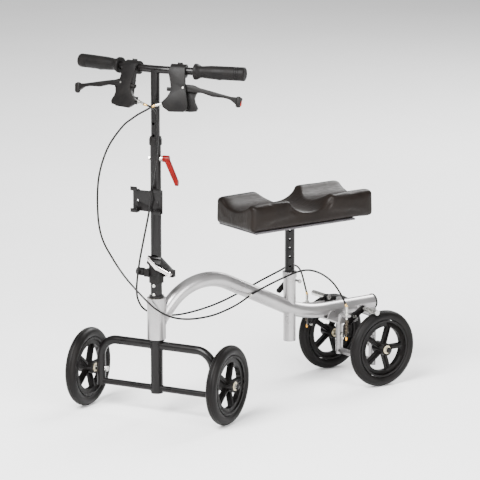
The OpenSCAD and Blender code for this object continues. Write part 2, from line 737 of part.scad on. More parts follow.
module bar_path(d, l) {
    at(0, 0, bar_z) rod_y(d, -bar_bend_y, bar_bend_y);
    both_sides() {
        translate([-bar_bend_r, bar_bend_y, bar_z])
            rotate_extrude(angle = sweep) translate([bar_bend_r, 0]) circle(d = d);
        swept() rod_y(d, 0, l);
    }
}

module handlebar_bar() color(black) steered() difference() {
    bar_path(bar_d, swept_len);
    bar_path(bar_d - 2 * wall, swept_len + 1);
}

module grip() color(rubber) steered() swept() difference() {
    union() {
        rod_y(grip_d, grip_s0, grip_s0 + grip_len);
        rod_y(grip_d + 6, grip_s0, grip_s0 + 6);
    }
    rod_y(bar_d + 0.1, grip_s0 - 1, swept_len);
}
module grip_left() grip();
module grip_right() steered() mirror([0, 1, 0]) unsteered() grip();
module unsteered() rotate([0, 0, -steer]) translate([-steer_x, 0, 0]) children();

// The brake housings stand on the swept part of the bar and lean forward at the foot
module on_housing() steered() swept() rotate([0, -housing_tilt, 0]) children();
module mirrored() steered() mirror([0, 1, 0]) unsteered() children();

// Outline of the flat front plate: straight flanks over a foot that bulges inward
function plate_outline() = [[7, 4], [47, 4], [50, -30], [56, -60], [61, -84], [60, -94],
    [50, -101], [14, -102], [-2, -92], [-7, -81], [7, -66], [16, -50], [12, -28], [7, -10]];

// Outline of the carrier behind it: a deep round notch over a finger hook
function carrier_outline() = [[20, -31], [66, -33], [80, -38], [84, -44], [78, -49], [73, -57],
    [71, -66], [73, -75], [78, -83], [81, -90], [77, -97], [62, -99], [20, -98]];

module slab(x0, x1) translate([x0, 0, 0]) rotate([90, 0, 90]) linear_extrude(x1 - x0) children();

module brake_housing() color(black) difference() {
    union() {
        steered() swept() rod_y(bar_d + 14, 8, 46);
        on_housing() {
            at(-2, 28, 0) rod_z(13, 8, 20);
            slab(lever_x + lever_t / 2 + gap, 19) polygon(plate_outline());
            slab(-8, lever_x - lever_t / 2 - gap) polygon(carrier_outline());
            at(-7, 20, -96) cube([24, 14, 92]);
            at(0, -1, -91) cube([17, 25, 19]);
            at(12, 0, -47) rod_y(10, 4, 24);
        }
    }
    steered() swept() rod_y(bar_d + 0.1, -60, 60);
    on_housing() {
        at(0, lever_s, lever_z) rod_x(lever_pin_d + 0.1, -40, 60);
        at(adjuster_x, -4, -82) rotate([adjuster_lean, 0, 0]) rod_z(6.1, -12.2, 30);
    }
}
module brake_housing_left() brake_housing();
module brake_housing_right() mirrored() brake_housing();

module lever_pin() on_housing() at(0, lever_s, lever_z) rod_x(lever_pin_d, -8, 19.5);

// Where the cable leaves the foot of the housing, pointing in and down
module front_adjuster() on_housing()
    at(adjuster_x, -4, -82) rotate([adjuster_lean, 0, 0]) adjuster(6);
module lever_fittings() color(zinc) {
    lever_pin();
    front_adjuster();
    mirrored() {
        lever_pin();
        front_adjuster();
    }
}

// The blade's middle line and half widths: a wave behind the fingers and a flared end
lever_line = [[lever_s, lever_z, 9], [93, -46.5, 5.5], [120, -53, 6.5], [151, -57, 4],
    [168, -61, 4.2]];
lever_end = [[swept_len - 2, -61, 3.5], [swept_len - 5, -76, 4]];
module disc(c) translate([c[0], c[1]]) circle(r = c[2], $fn = 32);
module lever_outline() {
    for (i = [0:len(lever_line) - 2]) hull() {
        disc(lever_line[i]);
        disc(lever_line[i + 1]);
    }
    hull() {
        disc(lever_line[len(lever_line) - 1]);
        disc(lever_end[0]);
        disc(lever_end[1]);
    }
}

module brake_lever() color(black) on_housing() difference() {
    slab(lever_x - lever_t / 2, lever_x + lever_t / 2) lever_outline();
    at(0, lever_s, lever_z) rod_x(lever_pin_d + 2 * run_fit, -40, 60);
}
module brake_lever_left() brake_lever();
module brake_lever_right() mirrored() brake_lever();

module front_brake_cables() color(rubber) {
    cable(front_cable_left, front_rings);
    cable(front_cable_right, front_rings);
}

// ---- knee rest ----
module seat_post() color(black) at(seat_x, 0, 0) difference() {
    rod_z(post_d, post_bottom, pad_z - board_t - 0.2);
    rod_z(post_d - 2 * wall, post_bottom - 1, pad_z - 10);
    for (k = [0:4]) at(0, 0, seat_top + 18 + 23 * k) rotate([0, 0, 55]) rod_x(7, -post_d, post_d);
}

// Board under the pad, with a round flange that the post is fixed in
module pad_plate() color(black) at(seat_x, 0, pad_z - board_t - 0.1) {
    at(pad_x - seat_x - pad_l / 2 + 60, -pad_w / 2 + 4, 0) cube([pad_l - 73, pad_w - 8, board_t]);
    difference() {
        rod_z(post_d + 26, -4, 0.5);
        rod_z(post_d + 0.1, -5, -0.1);
    }
}

module pad_bolts() color(zinc) at(seat_x, 0, pad_z - board_t - 0.1)
    for (x = [-0.31, 0.38], y = [-0.27, 0.27]) at(x * pad_l, y * pad_w, 0) rod_z(12, -4, -0.1);

// Simple closed form: raised corners, a trough along and a valley across
module knee_pad() color(black) at(pad_x, 0, pad_z) difference() {
    at(-pad_l / 2, -pad_w / 2, 0) cube([pad_l, pad_w, pad_h]);
    at(8, 0, pad_h + 52) rod_y(170, -pad_w, pad_w);
    at(0, 0, pad_h + 78) rod_x(190, -pad_l, pad_l);
}

main_tube();
head_tube();
headset_bearings();
seat_tube();
seat_clamp();
tail_plug();
rear_top_bar();
rear_posts();
rear_lower_bar();
cable_stop_bracket();
rear_adjusters();
cable_guide();
rear_axle_bolts();
rear_wheel_bearings();
brake_pivot_bolts();
rear_brake_cables();
fork_tube();
fork_loop();
fork_cross_tube();
crown_race();
front_axle_bolts();
front_wheel_bearings();
lower_hinge_casting();
hinge_pin();
fold_plunger();
fold_lever();
upper_hinge_plate();
column_tube();
column_collar();
height_clamp_bolt();
accessory_bracket();
height_lever();
handlebar_stem();
handlebar_bar();
grip_left();
grip_right();
brake_housing_left();
brake_housing_right();
lever_fittings();
brake_lever_left();
brake_lever_right();
front_brake_cables();
seat_post();
pad_plate();
knee_pad();
pad_bolts();
seat_lever();
tyre_front_left();
tyre_front_right();
tyre_rear_left();
tyre_rear_right();
rim_front_left();
rim_front_right();
rim_rear_left();
rim_rear_right();
brake_arm_left();
brake_arm_right();
brake_roller_left();
brake_roller_right();
brake_springs();
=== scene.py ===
import bpy, json, math
from mathutils import Matrix, Vector, noise


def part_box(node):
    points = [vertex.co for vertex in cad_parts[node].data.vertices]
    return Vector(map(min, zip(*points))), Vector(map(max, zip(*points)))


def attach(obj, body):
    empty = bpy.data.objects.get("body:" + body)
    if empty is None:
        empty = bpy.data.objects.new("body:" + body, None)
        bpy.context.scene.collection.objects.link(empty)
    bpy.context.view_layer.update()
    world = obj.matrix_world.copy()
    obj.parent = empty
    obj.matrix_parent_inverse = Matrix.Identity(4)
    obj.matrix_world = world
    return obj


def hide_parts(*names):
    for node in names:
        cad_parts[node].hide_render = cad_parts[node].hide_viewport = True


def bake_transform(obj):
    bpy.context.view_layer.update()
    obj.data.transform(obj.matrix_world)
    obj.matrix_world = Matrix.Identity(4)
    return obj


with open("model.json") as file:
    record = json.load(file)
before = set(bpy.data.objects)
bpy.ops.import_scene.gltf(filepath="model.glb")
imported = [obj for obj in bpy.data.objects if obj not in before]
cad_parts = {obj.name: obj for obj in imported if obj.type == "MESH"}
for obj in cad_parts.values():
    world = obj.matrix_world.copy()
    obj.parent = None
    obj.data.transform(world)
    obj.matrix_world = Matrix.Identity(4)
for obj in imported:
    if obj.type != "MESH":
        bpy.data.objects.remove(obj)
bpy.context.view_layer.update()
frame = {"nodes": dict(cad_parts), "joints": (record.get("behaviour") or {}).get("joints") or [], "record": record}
mm = 0.001
up = Vector((0, 0, 1))
joints = {j["name"]: j for j in frame["joints"]}

# The front assembly is turned, so its own directions come from the wheel's axle
steerPoint = Vector(joints["steering"]["pos_m"])
steerLeft = Vector(joints["wheel_front_left_spin"]["axis"])
steerFwd = steerLeft.cross(up)
leverJoint = {1: joints["brake_lever_left"], -1: joints["brake_lever_right"]}
leverPin = (46, -42)  # the lever pin's place along the bar and up, in a housing's own directions


def onFront(fwd, left, z):  # a point in the turned front assembly, in mm
    return Vector((steerPoint.x, 0, 0)) + (steerFwd * fwd + steerLeft * left + up * z) * mm


def housingAxes(side):  # forward, outward and up for a brake housing, which leans with its lever
    fwd = Vector(leverJoint[side]["axis"]) * side
    out = (up.cross(fwd) * side).normalized()
    return fwd, out, fwd.cross(out) * side


def onHousing(side, fwd, out, z):
    axes = housingAxes(side)
    pin = Vector(leverJoint[side]["pos_m"])
    return pin + (axes[0] * fwd + axes[1] * (out - leverPin[0]) + axes[2] * (z - leverPin[1])) * mm


camera = {"azimuth": 144.51, "elevation": 12.61, "distance": 7.908, "lens": 235.1,
          "target": (-0.2549, 0, 0.4139)}  # target is measured from the steering axis
studio = {"floor": 30, "key": 950, "fill": 420, "rim": 420, "sky": 0.55}


def linear(code):  # sRGB hex to the linear colour that a shader takes
    parts = [int(code[i:i + 2], 16) / 255 for i in (1, 3, 5)]
    return [p / 12.92 if p < 0.04045 else ((p + 0.055) / 1.055) ** 2.4 for p in parts] + [1]


def lookAt(obj, target):
    obj.rotation_euler = (Vector(target) - obj.location).to_track_quat("-Z", "Y").to_euler()


def makeCamera():
    data = bpy.data.cameras.new("camera")
    data.lens, data.sensor_width, data.clip_end = camera["lens"], 36, 60
    obj = bpy.data.objects.new("camera", data)
    bpy.context.collection.objects.link(obj)
    a, e = math.radians(camera["azimuth"]), math.radians(camera["elevation"])
    back = Vector((math.sin(a) * math.cos(e), -math.cos(a) * math.cos(e), math.sin(e)))
    target = Vector(camera["target"]) + Vector((steerPoint.x, 0, 0))
    obj.location = target + back * camera["distance"]
    lookAt(obj, target)
    bpy.context.scene.camera = obj


def areaLight(name, place, size, power):
    data = bpy.data.lights.new(name, "AREA")
    data.shape, data.size, data.energy = "DISK", size, power
    obj = bpy.data.objects.new(name, data)
    bpy.context.collection.objects.link(obj)
    obj.location = place
    lookAt(obj, (0, 0, 0.4))


def makeStudio():
    bpy.ops.mesh.primitive_plane_add(size=studio["floor"], location=(0, 0, -0.0005))
    floor = bpy.context.object
    floor.name = "floor"
    setMaterial(floor, studioPaper())
    areaLight("key", (3.5, 1.2, 4.0), 3.0, studio["key"])
    areaLight("fill", (0.5, 5.0, 2.2), 3.5, studio["fill"])
    areaLight("rim", (-4.0, -1.5, 3.5), 3.0, studio["rim"])
    world = bpy.data.worlds.new("studio")
    bpy.context.scene.world = world
    world.use_nodes = True
    world.node_tree.nodes["Background"].inputs["Color"].default_value = (1, 1, 1, 1)
    world.node_tree.nodes["Background"].inputs["Strength"].default_value = studio["sky"]


def addNode(tree, kind, links=None, **settings):  # settings name an attribute, or an input's value
    node = tree.nodes.new(kind)
    for key, value in settings.items():
        if hasattr(node, key):
            setattr(node, key, value)
        else:
            node.inputs[key.replace("_", " ")].default_value = value
    for key, source in (links or {}).items():
        tree.links.new(source, node.inputs[key])
    return node


def setMaterial(obj, mat):
    obj.data.materials.clear()
    obj.data.materials.append(mat)


def startMaterial(name, **shader):
    mat = bpy.data.materials.new(name)
    mat.use_nodes = True
    tree = mat.node_tree
    bsdf = tree.nodes["Principled BSDF"]
    for key, value in shader.items():
        bsdf.inputs[key.replace("_", " ")].default_value = value
    place = addNode(tree, "ShaderNodeTexCoord").outputs["Object"]
    return mat, tree, bsdf, place


def ramp(tree, source, colours, stops):
    node = addNode(tree, "ShaderNodeValToRGB", {"Fac": source})
    cells = node.color_ramp.elements
    while len(cells) < len(stops):
        cells.new(0.5)
    for cell, colour, stop in zip(cells, colours, stops):
        cell.position = stop
        cell.color = linear(colour) if isinstance(colour, str) else (colour, colour, colour, 1)
    return node.outputs["Color"]


def grained(name, look, **shader):
    # a surface with two grains: a broad one that varies the colour, a fine one that bumps it
    mat, tree, bsdf, place = startMaterial(name, **shader)
    broad = addNode(tree, "ShaderNodeTexNoise", {"Vector": place}, Scale=1000 / look["broad"], Detail=4.0)
    fine = addNode(tree, "ShaderNodeTexNoise", {"Vector": place}, Scale=1000 / look["fine"], Detail=3.0)
    colour = ramp(tree, broad.outputs["Fac"], [look["dark"], look["light"]], [0.3, 0.7])
    tree.links.new(colour, bsdf.inputs["Base Color"])
    rough = ramp(tree, broad.outputs["Fac"], [look["rough"][0], look["rough"][1]], [0.35, 0.65])
    tree.links.new(rough, bsdf.inputs["Roughness"])
    bump = addNode(tree, "ShaderNodeBump", {"Height": fine.outputs["Fac"]},
                   Strength=look["bump"], Distance=look["depth"] * mm)
    tree.links.new(bump.outputs["Normal"], bsdf.inputs["Normal"])
    return mat


def studioPaper():  # matt paper sweep, faint fibres
    return grained("studioPaper", {"broad": 900, "fine": 3, "dark": "#f4f4f4", "light": "#f8f8f8",
                                   "rough": (0.85, 0.9), "bump": 0.05, "depth": 0.1})


def silverPowderCoat():  # metallic powder coat over steel: soft flake sparkle, slight orange peel
    return grained("silverPowderCoat", {"broad": 60, "fine": 1.6, "dark": "#8d8b8b", "light": "#a3a1a1",
                                        "rough": (0.26, 0.34), "bump": 0.1, "depth": 0.1},
                   Metallic=0.85, Coat_Weight=0.3, Coat_Roughness=0.1)


def blackPowderCoat():  # semi-gloss powder coat: fine orange peel, a tight line of light on tubes
    return grained("blackPowderCoat", {"broad": 45, "fine": 1.4, "dark": "#070606", "light": "#0c0a0a",
                                       "rough": (0.26, 0.34), "bump": 0.14, "depth": 0.1},
                   Specular_IOR_Level=0.2)


def mouldedNylon():  # glass-filled nylon from a spark-eroded mould: dull, with a faint grain
    return grained("mouldedNylon", {"broad": 30, "fine": 0.9, "dark": "#090808", "light": "#0f0d0c",
                                    "rough": (0.42, 0.52), "bump": 0.3, "depth": 0.1},
                   Specular_IOR_Level=0.15)


def redAcetal():  # bright moulded acetal, slightly glossy
    return grained("redAcetal", {"broad": 25, "fine": 1.2, "dark": "#520100", "light": "#660200",
                                 "rough": (0.28, 0.36), "bump": 0.08, "depth": 0.06},
                   Specular_IOR_Level=0.15)


def orangeAcetal():  # moulded acetal cap, slightly glossy
    return grained("orangeAcetal", {"broad": 20, "fine": 1.0, "dark": "#7e1000", "light": "#961800",
                                    "rough": (0.3, 0.38), "bump": 0.08, "depth": 0.06},
                   Specular_IOR_Level=0.15)


def yellowCap():  # dipped vinyl wire cap
    return grained("yellowCap", {"broad": 10, "fine": 0.8, "dark": "#dc9414", "light": "#f0ae28",
                                 "rough": (0.35, 0.45), "bump": 0.08, "depth": 0.05})


def brassFerrule():  # pressed brass ferrule: warm, fine drawing marks
    return grained("brassFerrule", {"broad": 5, "fine": 0.5, "dark": "#b98f4a", "light": "#dcb56c",
                                    "rough": (0.24, 0.36), "bump": 0.1, "depth": 0.04}, Metallic=1.0)


def zincPlate():  # bright zinc on turned steel: faint clouding
    return grained("zincPlate", {"broad": 6, "fine": 0.5, "dark": "#a9a8a4", "light": "#d2d1cc",
                                 "rough": (0.2, 0.36), "bump": 0.12, "depth": 0.05}, Metallic=1.0)


def springSteel():  # oiled spring wire: dark and bronze, a thin glint
    return grained("springSteel", {"broad": 5, "fine": 0.5, "dark": "#4c443b", "light": "#6e6456",
                                   "rough": (0.3, 0.42), "bump": 0.08, "depth": 0.04}, Metallic=0.9)


def chromePlate():  # polished chrome: sharp reflections
    return grained("chromePlate", {"broad": 20, "fine": 3, "dark": "#c9c4c2", "light": "#e2dedc",
                                   "rough": (0.06, 0.12), "bump": 0.04, "depth": 0.05}, Metallic=1.0)


def bearingSteel():  # ground ring with a cream seal tint
    return grained("bearingSteel", {"broad": 5, "fine": 0.6, "dark": "#b5a98c", "light": "#cfc5a8",
                                    "rough": (0.3, 0.42), "bump": 0.08, "depth": 0.04}, Metallic=0.4)


def solidTyre():  # moulded polyurethane: dull, with a faint bloom
    return grained("solidTyre", {"broad": 35, "fine": 1.1, "dark": "#080707", "light": "#0e0c0b",
                                 "rough": (0.42, 0.54), "bump": 0.26, "depth": 0.12},
                   Specular_IOR_Level=0.12)


def gripRubber():  # thermoplastic rubber: soft and dull
    return grained("gripRubber", {"broad": 22, "fine": 0.8, "dark": "#090808", "light": "#0f0d0c",
                                  "rough": (0.5, 0.6), "bump": 0.3, "depth": 0.1},
                   Specular_IOR_Level=0.12)


def cableJacket():  # extruded vinyl: smooth, a thin line of light
    return grained("cableJacket", {"broad": 30, "fine": 1.5, "dark": "#080707", "light": "#0e0c0c",
                                   "rough": (0.3, 0.4), "bump": 0.06, "depth": 0.05},
                   Specular_IOR_Level=0.2)


def baseBoard():  # dark grey laminate board, sawn and sealed
    return grained("baseBoard", {"broad": 40, "fine": 1.2, "dark": "#2c2a2c", "light": "#3a373b",
                                 "rough": (0.5, 0.6), "bump": 0.18, "depth": 0.1})


def weldSteel():  # weld bead under powder coat: ripples a millimetre or two apart
    return grained("weldSteel", {"broad": 12, "fine": 1.8, "dark": "#868485", "light": "#9c9a9b",
                                 "rough": (0.3, 0.42), "bump": 0.5, "depth": 0.4}, Metallic=0.8)


def blackWeld():  # the same bead under black coat
    return grained("blackWeld", {"broad": 12, "fine": 1.8, "dark": "#070606", "light": "#0c0a0a",
                                 "rough": (0.3, 0.42), "bump": 0.5, "depth": 0.4},
                   Specular_IOR_Level=0.2)


padLook = {"dark": "#0c0806", "light": "#150f0b", "grainMm": 2.2, "creaseMm": 26}


def mouldedSkin():  # skin of moulded foam: fine leather grain, and long creases in the hollow
    mat, tree, bsdf, place = startMaterial("mouldedSkin", Specular_IOR_Level=0.14)
    broad = addNode(tree, "ShaderNodeTexNoise", {"Vector": place}, Scale=12.0, Detail=5.0)
    colour = ramp(tree, broad.outputs["Fac"], [padLook["dark"], padLook["light"]], [0.3, 0.7])
    grain = addNode(tree, "ShaderNodeTexVoronoi", {"Vector": place}, Scale=1000 / padLook["grainMm"])
    stretch = addNode(tree, "ShaderNodeMapping", {"Vector": place})
    stretch.inputs["Scale"].default_value = (1, 3.2, 1)
    crease = addNode(tree, "ShaderNodeTexNoise", {"Vector": stretch.outputs["Vector"]},
                     Scale=1000 / padLook["creaseMm"], Detail=2.0, Distortion=1.2)
    rough = ramp(tree, crease.outputs["Fac"], [0.36, 0.5], [0.35, 0.65])
    first = addNode(tree, "ShaderNodeBump", {"Height": grain.outputs["Distance"]}, Strength=0.18,
                    Distance=0.2 * mm)
    second = addNode(tree, "ShaderNodeBump", {"Height": crease.outputs["Fac"],
                     "Normal": first.outputs["Normal"]}, Strength=0.25, Distance=1.5 * mm)
    tree.links.new(colour, bsdf.inputs["Base Color"])
    tree.links.new(rough, bsdf.inputs["Roughness"])
    tree.links.new(second.outputs["Normal"], bsdf.inputs["Normal"])
    return mat


def deselect():
    for obj in list(bpy.context.selected_objects):
        obj.select_set(False)


def only(obj):
    deselect()
    obj.select_set(True)
    bpy.context.view_layer.objects.active = obj


def applyModifier(obj, name, kind, **settings):
    only(obj)
    mod = obj.modifiers.new(name, kind)
    for key, value in settings.items():
        setattr(mod, key, value)
    bpy.ops.object.modifier_apply(modifier=mod.name)


def inEdit(obj, *steps):  # runs edit-mode steps on everything selected
    only(obj)
    bpy.ops.object.mode_set(mode="EDIT")
    bpy.ops.mesh.select_all(action="SELECT")
    for step in steps:
        step()
    bpy.ops.object.mode_set(mode="OBJECT")


def closeUp(obj, angle=35):
    inEdit(obj, lambda: bpy.ops.mesh.remove_doubles(threshold=0.00002),
           lambda: bpy.ops.mesh.normals_make_consistent(inside=False))
    only(obj)
    bpy.ops.object.shade_smooth_by_angle(angle=math.radians(angle))
    return obj


def frameOf(axis, side=None):  # a rotation whose Z is the axis
    z = Vector(axis).normalized()
    x = Vector(side) if side is not None else (Vector((0, 0, 1)) if abs(z.z) < 0.9 else Vector((1, 0, 0)))
    x = (x - z * x.dot(z)).normalized()
    return Matrix((x, z.cross(x), z)).transposed().to_4x4()


def drawnOut(name, profile, centre, axis, sides=48, angle=35):
    # a disc drawn out ring by ring along an axis; the profile is (radius, along) in mm
    deselect()
    (radius, height) = profile[0]
    bpy.ops.mesh.primitive_circle_add(vertices=sides, radius=radius * mm, fill_type="NGON",
                                      location=(0, 0, 0))
    obj = bpy.context.object
    obj.name = name
    bpy.ops.object.mode_set(mode="EDIT")
    bpy.ops.mesh.select_all(action="SELECT")
    bpy.ops.transform.translate(value=(0, 0, height * mm))
    for r, h in profile[1:]:
        bpy.ops.mesh.extrude_region_move(TRANSFORM_OT_translate={"value": (0, 0, (h - height) * mm)})
        bpy.ops.transform.resize(value=(r / radius, r / radius, 1))
        radius, height = r, h
    bpy.ops.object.mode_set(mode="OBJECT")
    obj.data.transform(Matrix.Translation(Vector(centre)) @ frameOf(axis))
    return closeUp(obj, angle)


def softened(node, width, segments=3, name=None, angle=30):
    # a copy of a CAD node with its sharp edges rounded
    source = frame["nodes"][node]
    obj = source.copy()
    obj.data = source.data.copy()
    obj.name = name or node + "Shell"
    obj.parent = None
    obj.matrix_world = Matrix.Identity(4)
    bpy.context.collection.objects.link(obj)
    inEdit(obj, lambda: bpy.ops.mesh.remove_doubles(threshold=0.00002),
           lambda: bpy.ops.mesh.dissolve_limited(angle_limit=math.radians(2)))
    applyModifier(obj, "round", "BEVEL", width=width * mm, segments=segments, limit_method="ANGLE",
                  angle_limit=math.radians(angle), harden_normals=False)
    only(obj)
    bpy.ops.object.shade_smooth_by_angle(angle=math.radians(40))
    return obj


def bodyOf(node):
    for body, nodes in frame["record"]["behaviour"]["bodies"].items():
        if node in nodes:
            return body


def standFor(obj, mat, *nodes, body=None):
    setMaterial(obj, mat)
    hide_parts(*nodes)
    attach(obj, body or bodyOf(nodes[0]))
    return obj


def smoothPath(points, count):  # an even walk along the cubic through the points
    pts = [Vector(p) for p in points]
    at = lambda i: pts[max(0, min(len(pts) - 1, i))]
    walk = []
    for k in range(count + 1):
        t = k / count * (len(pts) - 1)
        i = min(int(t), len(pts) - 2)
        u = t - i
        a, b, c, d = at(i - 1), at(i), at(i + 1), at(i + 2)
        walk.append(b + u * ((c - a) / 2 + u * (a - 2.5 * b + 2 * c - d / 2
                                                + u * ((d - a) / 2 + 1.5 * (b - c)))))
    return walk


def rodAlong(name, points, radius, closed=False, sides=3, angle=50):
    # a round rod along a curve, made a mesh; points in metres, radius in mm
    data = bpy.data.curves.new(name, "CURVE")
    data.dimensions, data.bevel_depth, data.bevel_resolution = "3D", radius * mm, sides
    data.use_fill_caps = not closed
    line = data.splines.new("POLY")
    line.points.add(len(points) - 1)
    for place, p in zip(line.points, points):
        place.co = (*p, 1)
    line.use_cyclic_u = closed
    obj = bpy.data.objects.new(name, data)
    bpy.context.collection.objects.link(obj)
    only(obj)
    bpy.ops.object.convert(target="MESH")
    return closeUp(bpy.context.object, angle)


finishes = {
    silverPowderCoat: ["main_tube", "head_tube", "seat_tube", "rear_top_bar", "rear_posts",
                       "rear_lower_bar", "cable_stop_bracket", "seat_clamp"],
    blackPowderCoat: ["fork_tube", "fork_loop", "fork_cross_tube", "column_tube", "handlebar_stem",
                      "handlebar_bar", "seat_post", "brake_arm_left", "brake_arm_right",
                      "accessory_bracket", "crown_race", "upper_hinge_plate"],
    mouldedNylon: ["tail_plug", "seat_lever", "fold_plunger", "column_collar",
                   "lower_hinge_casting", "rim_front_left", "rim_front_right", "rim_rear_left",
                   "rim_rear_right", "brake_housing_left", "brake_housing_right",
                   "brake_lever_left", "brake_lever_right"],
    zincPlate: ["rear_adjusters", "cable_guide", "rear_axle_bolts", "front_axle_bolts",
                "brake_pivot_bolts", "hinge_pin", "height_clamp_bolt", "lever_fittings",
                "brake_springs", "pad_bolts", "brake_roller_left", "brake_roller_right"],
    chromePlate: ["fold_lever"],
    bearingSteel: ["headset_bearings", "rear_wheel_bearings", "front_wheel_bearings"],
    redAcetal: ["height_lever"],
    solidTyre: ["tyre_front_left", "tyre_front_right", "tyre_rear_left", "tyre_rear_right"],
    gripRubber: ["grip_left", "grip_right"],
    cableJacket: ["front_brake_cables", "rear_brake_cables"],
    baseBoard: ["pad_plate"],
    mouldedSkin: ["knee_pad"],
}
made = {}


def material(maker):  # each material is made once
    if maker not in made:
        made[maker] = maker()
    return made[maker]


def dressFrame():
    for maker, nodes in finishes.items():
        for node in nodes:
            setMaterial(frame["nodes"][node], material(maker))


pad = {"inset": 0.8, "scoopAt": 8, "scoopR": 85, "scoopUp": 50, "troughR": 95, "troughUp": 73,
       "taper": 0.015, "voxel": 4.0, "pressure": 4.0, "cap": 2.0, "corner": 9, "ease": 3}


def makeKneePad():
    lo, hi = (Vector(c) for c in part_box("knee_pad"))
    centre, size = (lo + hi) / 2, (hi - lo) - Vector((2, 2, 1)) * pad["inset"] * mm
    deselect()
    bpy.ops.mesh.primitive_cube_add(size=1, location=(0, 0, 0))
    obj = bpy.context.object
    obj.name = "kneePad"
    bpy.ops.object.mode_set(mode="EDIT")
    bpy.ops.transform.resize(value=tuple(size))
    bpy.ops.mesh.select_all(action="SELECT")
    bpy.ops.mesh.bevel(offset=pad["corner"] * mm, segments=5, affect="EDGES")
    bpy.ops.object.mode_set(mode="OBJECT")
    applyModifier(obj, "grid", "REMESH", mode="VOXEL", voxel_size=pad["voxel"] * mm)
    half = size / 2
    for v in obj.data.vertices:
        share = min(1, max(0, (v.co.z + half.z) / size.z))
        away = v.co.x - pad["scoopAt"] * mm
        scoop = math.sqrt(max(0, (pad["scoopR"] * mm) ** 2 - away ** 2)) - pad["scoopUp"] * mm
        trough = math.sqrt(max(0, (pad["troughR"] * mm) ** 2 - v.co.y ** 2)) - pad["troughUp"] * mm
        drop = max(0, scoop, trough)
        v.co.z -= drop * share ** 1.5
        v.co.y *= 1 - pad["taper"] * share
        v.co.x *= 1 - 0.5 * pad["taper"] * share
    applyModifier(obj, "ease", "SMOOTH", factor=0.5, iterations=pad["ease"])
    obj.data.transform(Matrix.Translation(centre - up * 0.5 * pad["inset"] * mm))
    swell(obj)
    applyModifier(obj, "fine", "SUBSURF", levels=1, render_levels=1)
    crease(obj)
    only(obj)
    bpy.ops.object.shade_smooth()
    standFor(obj, material(mouldedSkin), "knee_pad")


def swell(obj):  # cloth under pressure rounds the skin; no point moves further than the cap
    before = [v.co.copy() for v in obj.data.vertices]
    mod = obj.modifiers.new("skin", "CLOTH")
    mod.settings.use_pressure = True
    mod.settings.uniform_pressure_force = pad["pressure"]
    mod.settings.effector_weights.gravity = 0
    scene = bpy.context.scene
    for f in range(1, 21):
        scene.frame_set(f)
    swollen = obj.evaluated_get(bpy.context.evaluated_depsgraph_get()).data
    after = [v.co.copy() for v in swollen.vertices]
    obj.modifiers.remove(mod)
    scene.frame_set(1)
    for v, a, b in zip(obj.data.vertices, before, after):
        move = b - a
        v.co = a + move * min(1, pad["cap"] * mm / max(move.length, 1e-9))


creases = {"deep": 1.1, "along": 55, "across": 50, "perMetre": (160, 35)}


def crease(obj):  # shallow creases run across the hollow where the knee lies
    along, across = creases["along"] * mm, creases["across"] * mm
    a, b = creases["perMetre"]
    centre = sum((v.co for v in obj.data.vertices), Vector()) / len(obj.data.vertices)
    for v in obj.data.vertices:
        d = v.co - centre
        near = math.exp(-(d.x / along) ** 2 - (d.y / across) ** 2)
        if v.normal.z > 0.3 and near > 0.02:
            wave = noise.noise(Vector((v.co.x * a, v.co.y * b, 0)))
            v.co.z -= creases["deep"] * mm * near * abs(wave)


grip = {"collar": 20, "waist": 14.4, "belly": 16.6, "end": 17, "bump": 1.6, "groove": 0.7}


def spanAlong(node, centre, axis):  # lowest and highest reach of a node along an axis
    reach = [(v.co - centre).dot(axis) for v in frame["nodes"][node].data.vertices]
    return min(reach), max(reach)


def makeGrip(name, side):
    node = "grip_" + name
    along = housingAxes(side)[1]
    lo, hi = (Vector(c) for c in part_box(node))
    centre = (lo + hi) / 2
    a, b = (x / mm for x in spanAlong(node, centre, along))
    collar, end = grip["collar"], grip["end"]
    profile = [(11, a), (collar - 2, a), (collar - 0.5, a + 1), (collar, a + 4), (collar - 0.4, a + 8),
               (collar - 2.4, a + 11), (grip["waist"] + 0.6, a + 16), (grip["waist"], a + 21)]
    for k in range(1, 7):  # the waist swells into the belly
        share = k / 6
        profile.append((grip["waist"] + (grip["belly"] - grip["waist"]) * math.sin(share * math.pi / 2),
                        a + 21 + 34 * share))
    for k in range(8):
        profile.append((grip["belly"] + (end - grip["belly"]) * k / 7, a + 60 + 5 * k))
    for k in range(3):  # three fine lines near the outer end
        start = b - 26 + 5 * k
        profile += [(end, start), (end - grip["groove"], start + 0.6),
                    (end - grip["groove"], start + 1.4), (end, start + 2)]
    profile += [(end, b - 4), (end - 0.7, b - 1.4), (end - 2.4, b - 0.2), (9, b), (8.5, b - 0.8),
                (1, b - 0.8)]
    obj = drawnOut("grip" + name.capitalize(), profile, centre, along, 48)
    for v in obj.data.vertices:  # a low finger bump under the middle
        d = v.co - centre
        down = max(0, -d.z / (end * mm))
        v.co.z -= grip["bump"] * mm * down * math.exp(-((d.dot(along) / mm) / 6) ** 2)
    standFor(obj, material(gripRubber), node)


wheelNames = ["front_left", "front_right", "rear_left", "rear_right"]
tyre = {"grooves": (-24, 0, 24), "grooveDepth": 0.9, "section": 60, "steps": 96}


